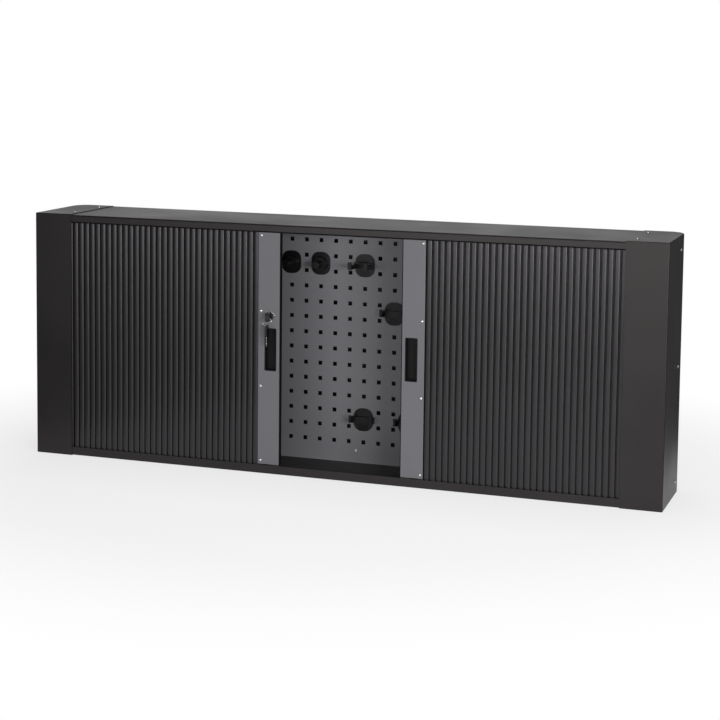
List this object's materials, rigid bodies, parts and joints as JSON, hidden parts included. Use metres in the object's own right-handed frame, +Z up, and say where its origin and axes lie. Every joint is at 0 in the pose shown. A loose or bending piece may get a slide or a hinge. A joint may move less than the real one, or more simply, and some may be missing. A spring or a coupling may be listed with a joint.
{
  "type": "workbench top cabinet",
  "caption": "Wide shallow workbench top cabinet with sliding slatted shutters that turn into end boxes, grey lead rails with pulls and a hook lock, and a perforated tool panel.",
  "frame": {"origin": "on the floor plane under the middle of the whole cabinet's box, keys included", "axes": "+X to the right along the width, +Z up, the front faces -Y"},
  "size_m": [1.5696, 0.2584, 0.6058],
  "materials": {
    "black_paint": "fine-textured matt black powder coat",
    "grey_paint": "satin anthracite grey powder coat",
    "track_plastic": "black moulded plastic",
    "slat_plastic": "satin black extruded plastic",
    "bar_metal": "mill finish",
    "zinc_steel": "zinc plated",
    "rivet_metal": "plain",
    "seal_rubber": "matt black",
    "cup_plastic": "black moulded plastic, fine grain",
    "lock_chrome": "polished nickel plate",
    "lock_black": "blackened",
    "key_plastic": "black moulded plastic",
    "holder_plastic": "black moulded plastic"
  },
  "bodies": {
    "carcass": {"left_end_box": "black_paint", "right_end_box": "black_paint", "top_tray": "black_paint", "bottom_tray": "black_paint", "rear_panel": "black_paint", "left_inner_wall": "black_paint", "right_inner_wall": "black_paint", "lower_panel_rail": "black_paint", "upper_panel_rail": "black_paint", "perforated_panel": "grey_paint", "left_upper_track": "track_plastic", "left_lower_track": "track_plastic", "right_upper_track": "track_plastic", "right_lower_track": "track_plastic", "end_box_screws": "zinc_steel", "side_screws": "zinc_steel", "panel_screws": "zinc_steel", "left_nut_strip": "zinc_steel", "right_nut_strip": "zinc_steel", "left_spanner_holder": "holder_plastic", "right_spanner_holder": "holder_plastic", "hammer_holder": "holder_plastic", "pump_pliers_holder": "holder_plastic", "pliers_holder": "holder_plastic", "side_pliers_holder": "holder_plastic"},
    "left_shutter": {"left_lead_rail": "grey_paint", "left_carrier_bar": "bar_metal", "left_edge_seal": "seal_rubber", "left_rail_gliders": "track_plastic", "left_rail_rivets": "rivet_metal", "left_pull_cup": "cup_plastic", "left_front_slats": "slat_plastic", "left_stored_slats": "slat_plastic", "lock_barrel": "lock_chrome", "lock_nut": "zinc_steel"},
    "right_shutter": {"right_lead_rail": "grey_paint", "right_carrier_bar": "bar_metal", "right_edge_seal": "seal_rubber", "right_rail_gliders": "track_plastic", "right_rail_rivets": "rivet_metal", "right_pull_cup": "cup_plastic", "right_front_slats": "slat_plastic", "right_stored_slats": "slat_plastic", "strike_plate": "zinc_steel", "strike_pin": "zinc_steel"},
    "lock_core": {"lock_plug": "lock_black", "lock_hook": "zinc_steel", "hook_screw": "zinc_steel", "key_bow": "key_plastic", "key_blade": "lock_chrome"},
    "ring": {"key_ring": "lock_chrome"},
    "spare_key": {"spare_key_bow": "key_plastic", "spare_key_blade": "lock_chrome"}
  },
  "joints": [
    {"name": "left_shutter_slide", "type": "slide", "parent": "carcass", "child": "left_shutter", "axis": [-1, 0, 0], "range_m": [-0.13275, 0.496], "deforming": ["left_front_slats", "left_stored_slats"]},
    {"name": "right_shutter_slide", "type": "slide", "parent": "carcass", "child": "right_shutter", "axis": [1, 0, 0], "range_m": [-0.16825, 0.4605], "deforming": ["right_front_slats", "right_stored_slats"]},
    {"name": "lock_turn", "type": "hinge", "parent": "left_shutter", "child": "lock_core", "pos_m": [-0.1595, -0.1068, 0.382], "axis": [0, 1, 0], "range_deg": [0, 90]},
    {"name": "ring_swing", "type": "hinge", "parent": "lock_core", "child": "ring", "pos_m": [-0.1595, -0.1208, 0.382], "axis": [0, 1, 0], "range_deg": [-40, 40]},
    {"name": "spare_key_swing", "type": "hinge", "parent": "ring", "child": "spare_key", "pos_m": [-0.1595, -0.1208, 0.36], "axis": [1, 0, 0], "range_deg": [-45, 8]}
  ]
}
